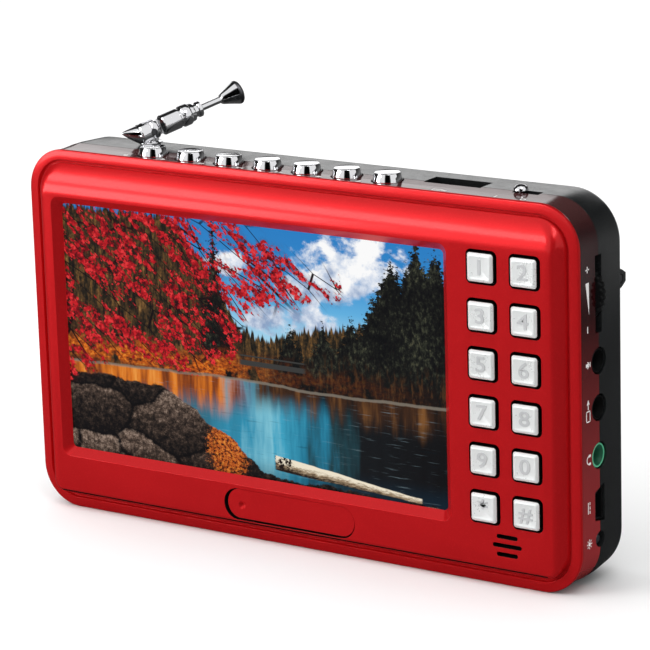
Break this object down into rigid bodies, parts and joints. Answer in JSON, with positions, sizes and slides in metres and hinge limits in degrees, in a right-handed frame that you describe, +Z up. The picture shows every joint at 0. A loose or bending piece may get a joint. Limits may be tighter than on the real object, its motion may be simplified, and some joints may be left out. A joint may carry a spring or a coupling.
{
  "type": "portable television",
  "caption": "Handheld LCD television with a key pad, top buttons, side sockets, a volume thumbwheel, a telescopic antenna and a fold-out rear stand.",
  "frame": {"origin": "centre, left to right, of the flat bottom edge that the set stands on, 12.2 mm behind the front panel and 8.2 mm in front of the rear face", "axes": "+Z up; the screen faces -Y; +X is the viewer's right"},
  "size_m": [0.1355, 0.0369, 0.0904],
  "materials": {
    "red_paint": "high gloss metallic red paint",
    "maroon_band": "high gloss dark red",
    "black_casing": "gloss charcoal black",
    "clear_lens": "clear glossy acrylic",
    "display": "lit liquid crystal panel",
    "silver_key": "silver paint, satin",
    "black_rubber": "matte",
    "chrome": "polished",
    "circuit_board": "green solder mask",
    "black_plastic": "satin",
    "green_plastic": "light green",
    "port_metal": "bright steel",
    "led_lens": "dark clear lens",
    "speaker_grey": "dark grey",
    "battery_wrap": "printed film",
    "screw_steel": "blackened steel"
  },
  "bodies": {
    "case": {"front_bezel": "red_paint", "middle_frame": "maroon_band", "rear_cover": "black_casing", "badge_plate": "red_paint", "casing_screw_1": "screw_steel", "casing_screw_2": "screw_steel", "casing_screw_3": "screw_steel", "casing_screw_4": "screw_steel", "display_lens": "clear_lens", "lcd_panel": "display", "key_mat": "black_rubber", "key_board": "circuit_board", "top_board": "circuit_board", "power_switch_body": "port_metal", "volume_pot": "black_plastic", "mic_jack": "black_plastic", "av_out_jack": "black_plastic", "line_jack": "green_plastic", "dc_port": "port_metal", "led_lamp": "led_lens", "usb_port": "port_metal", "main_board": "circuit_board", "speaker": "speaker_grey", "battery": "battery_wrap", "stand_pin_left": "screw_steel", "stand_pin_right": "screw_steel"},
    "key_01": {"key_01": "silver_key"},
    "key_02": {"key_02": "silver_key"},
    "key_03": {"key_03": "silver_key"},
    "key_04": {"key_04": "silver_key"},
    "key_05": {"key_05": "silver_key"},
    "key_06": {"key_06": "silver_key"},
    "key_07": {"key_07": "silver_key"},
    "key_08": {"key_08": "silver_key"},
    "key_09": {"key_09": "silver_key"},
    "key_10": {"key_10": "silver_key"},
    "key_11": {"key_11": "silver_key"},
    "key_12": {"key_12": "silver_key"},
    "top_button_1": {"top_button_1": "chrome"},
    "top_button_2": {"top_button_2": "chrome"},
    "top_button_3": {"top_button_3": "chrome"},
    "top_button_4": {"top_button_4": "chrome"},
    "top_button_5": {"top_button_5": "chrome"},
    "top_button_6": {"top_button_6": "chrome"},
    "top_button_7": {"top_button_7": "chrome"},
    "power_switch": {"power_switch_knob": "chrome"},
    "volume_wheel": {"volume_wheel": "black_plastic"},
    "antenna_base": {"antenna_turret": "chrome", "antenna_pin": "screw_steel"},
    "antenna_mast": {"antenna_tube": "chrome"},
    "antenna_section": {"antenna_section": "chrome"},
    "antenna_rod": {"antenna_rod": "chrome"},
    "stand": {"stand": "black_casing"},
    "battery_door": {"battery_door": "black_casing"}
  },
  "joints": [
    {"name": "key_01_press", "type": "slide", "parent": "case", "child": "key_01", "axis": [0, 1, 0], "range_m": [0, 0.0008], "stiffness_N_per_m": 250, "springref_m": -0.0004},
    {"name": "key_02_press", "type": "slide", "parent": "case", "child": "key_02", "axis": [0, 1, 0], "range_m": [0, 0.0008], "stiffness_N_per_m": 250, "springref_m": -0.0004},
    {"name": "key_03_press", "type": "slide", "parent": "case", "child": "key_03", "axis": [0, 1, 0], "range_m": [0, 0.0008], "stiffness_N_per_m": 250, "springref_m": -0.0004},
    {"name": "key_04_press", "type": "slide", "parent": "case", "child": "key_04", "axis": [0, 1, 0], "range_m": [0, 0.0008], "stiffness_N_per_m": 250, "springref_m": -0.0004},
    {"name": "key_05_press", "type": "slide", "parent": "case", "child": "key_05", "axis": [0, 1, 0], "range_m": [0, 0.0008], "stiffness_N_per_m": 250, "springref_m": -0.0004},
    {"name": "key_06_press", "type": "slide", "parent": "case", "child": "key_06", "axis": [0, 1, 0], "range_m": [0, 0.0008], "stiffness_N_per_m": 250, "springref_m": -0.0004},
    {"name": "key_07_press", "type": "slide", "parent": "case", "child": "key_07", "axis": [0, 1, 0], "range_m": [0, 0.0008], "stiffness_N_per_m": 250, "springref_m": -0.0004},
    {"name": "key_08_press", "type": "slide", "parent": "case", "child": "key_08", "axis": [0, 1, 0], "range_m": [0, 0.0008], "stiffness_N_per_m": 250, "springref_m": -0.0004},
    {"name": "key_09_press", "type": "slide", "parent": "case", "child": "key_09", "axis": [0, 1, 0], "range_m": [0, 0.0008], "stiffness_N_per_m": 250, "springref_m": -0.0004},
    {"name": "key_10_press", "type": "slide", "parent": "case", "child": "key_10", "axis": [0, 1, 0], "range_m": [0, 0.0008], "stiffness_N_per_m": 250, "springref_m": -0.0004},
    {"name": "key_11_press", "type": "slide", "parent": "case", "child": "key_11", "axis": [0, 1, 0], "range_m": [0, 0.0008], "stiffness_N_per_m": 250, "springref_m": -0.0004},
    {"name": "key_12_press", "type": "slide", "parent": "case", "child": "key_12", "axis": [0, 1, 0], "range_m": [0, 0.0008], "stiffness_N_per_m": 250, "springref_m": -0.0004},
    {"name": "top_button_1_press", "type": "slide", "parent": "case", "child": "top_button_1", "axis": [0, 0, -1], "range_m": [0, 0.0007], "stiffness_N_per_m": 300, "springref_m": -0.0004},
    {"name": "top_button_2_press", "type": "slide", "parent": "case", "child": "top_button_2", "axis": [0, 0, -1], "range_m": [0, 0.0007], "stiffness_N_per_m": 300, "springref_m": -0.0004},
    {"name": "top_button_3_press", "type": "slide", "parent": "case", "child": "top_button_3", "axis": [0, 0, -1], "range_m": [0, 0.0007], "stiffness_N_per_m": 300, "springref_m": -0.0004},
    {"name": "top_button_4_press", "type": "slide", "parent": "case", "child": "top_button_4", "axis": [0, 0, -1], "range_m": [0, 0.0007], "stiffness_N_per_m": 300, "springref_m": -0.0004},
    {"name": "top_button_5_press", "type": "slide", "parent": "case", "child": "top_button_5", "axis": [0, 0, -1], "range_m": [0, 0.0007], "stiffness_N_per_m": 300, "springref_m": -0.0004},
    {"name": "top_button_6_press", "type": "slide", "parent": "case", "child": "top_button_6", "axis": [0, 0, -1], "range_m": [0, 0.0007], "stiffness_N_per_m": 300, "springref_m": -0.0004},
    {"name": "top_button_7_press", "type": "slide", "parent": "case", "child": "top_button_7", "axis": [0, 0, -1], "range_m": [0, 0.0007], "stiffness_N_per_m": 300, "springref_m": -0.0004},
    {"name": "power_switch_slide", "type": "slide", "parent": "case", "child": "power_switch", "axis": [1, 0, 0], "range_m": [0, 0.003]},
    {"name": "volume_turn", "type": "hinge", "parent": "case", "child": "volume_wheel", "pos_m": [0.0621, -0.002, 0.0604], "axis": [0, 1, 0], "range_deg": [-135, 135]},
    {"name": "antenna_swivel", "type": "hinge", "parent": "case", "child": "antenna_base", "pos_m": [-0.0445, 0.0036, 0.082], "axis": [0, 0, 1], "range_deg": [-150, 60]},
    {"name": "antenna_tilt", "type": "hinge", "parent": "antenna_base", "child": "antenna_mast", "pos_m": [-0.0445, 0.0036, 0.082], "axis": [0.8829, -0.4695, 0], "range_deg": [0, 74]},
    {"name": "antenna_section_slide", "type": "slide", "parent": "antenna_mast", "child": "antenna_section", "axis": [0.4522, 0.8504, 0.2689], "range_m": [-0.0008, 0.0032]},
    {"name": "antenna_rod_slide", "type": "slide", "parent": "antenna_section", "child": "antenna_rod", "axis": [0.4522, 0.8504, 0.2689], "range_m": [-0.0047, 0.0016]},
    {"name": "stand_fold", "type": "hinge", "parent": "case", "child": "stand", "pos_m": [0, 0.0104, 0.0605], "axis": [1, 0, 0], "range_deg": [0, 55]},
    {"name": "battery_door_pull", "type": "slide", "parent": "case", "child": "battery_door", "axis": [0, 1, 0], "range_m": [0, 0.012]}
  ]
}
